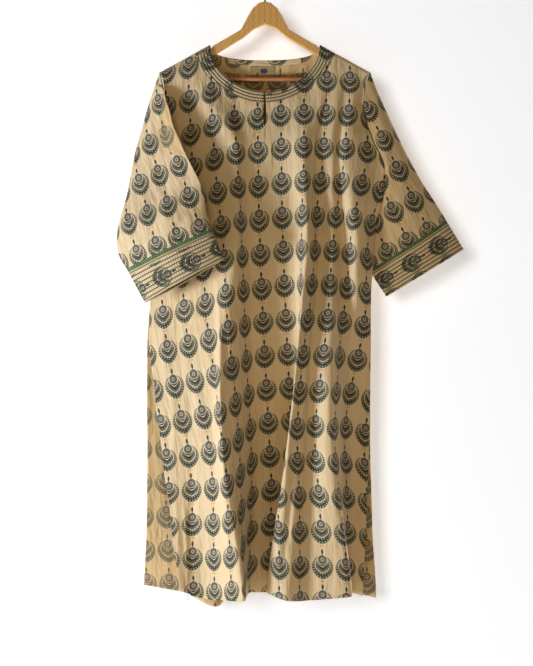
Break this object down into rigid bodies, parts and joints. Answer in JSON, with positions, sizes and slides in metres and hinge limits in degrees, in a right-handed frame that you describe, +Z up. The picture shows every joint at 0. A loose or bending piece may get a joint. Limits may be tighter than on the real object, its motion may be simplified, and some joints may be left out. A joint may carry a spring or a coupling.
{
  "type": "kurta tunic on a wooden hanger",
  "caption": "Straight cotton kurta tunic with a round stitched neck band, keyhole slit, three-quarter sleeves and side slits, hanging in soft folds on a wooden hanger.",
  "frame": {"origin": "inside the top of the hanger's hook, where a rail carries it", "axes": "+Z up, the tunic's front faces -Y, +X to the viewer's right"},
  "size_m": [0.6882, 0.1392, 1.266],
  "materials": {
    "printed_cotton": "matt plain-weave cotton with a dark block print",
    "stitched_band": "matt cotton crossed by rows of running stitch",
    "couched_border": "matt twisted green thread",
    "label_cloth": "smooth woven label tape",
    "button_shell": "polished",
    "hanger_wood": "satin varnish",
    "bar_wood": "satin varnish",
    "hook_steel": "polished wire"
  },
  "bodies": {
    "root": {"front_panel": "printed_cotton", "back_panel": "printed_cotton", "sleeve_left": "printed_cotton", "sleeve_right": "printed_cotton", "back_neck_facing": "printed_cotton", "neck_band_left": "stitched_band", "neck_band_right": "stitched_band", "neck_band_back": "stitched_band", "cuff_left": "stitched_band", "cuff_right": "stitched_band", "border_left": "couched_border", "border_right": "couched_border", "button_loop": "couched_border", "neck_label": "label_cloth", "size_tab": "label_cloth", "hem_tab": "label_cloth", "button": "button_shell", "hanger_board": "hanger_wood", "hanger_bar": "bar_wood", "hanger_hook": "hook_steel"}
  },
  "joints": []
}
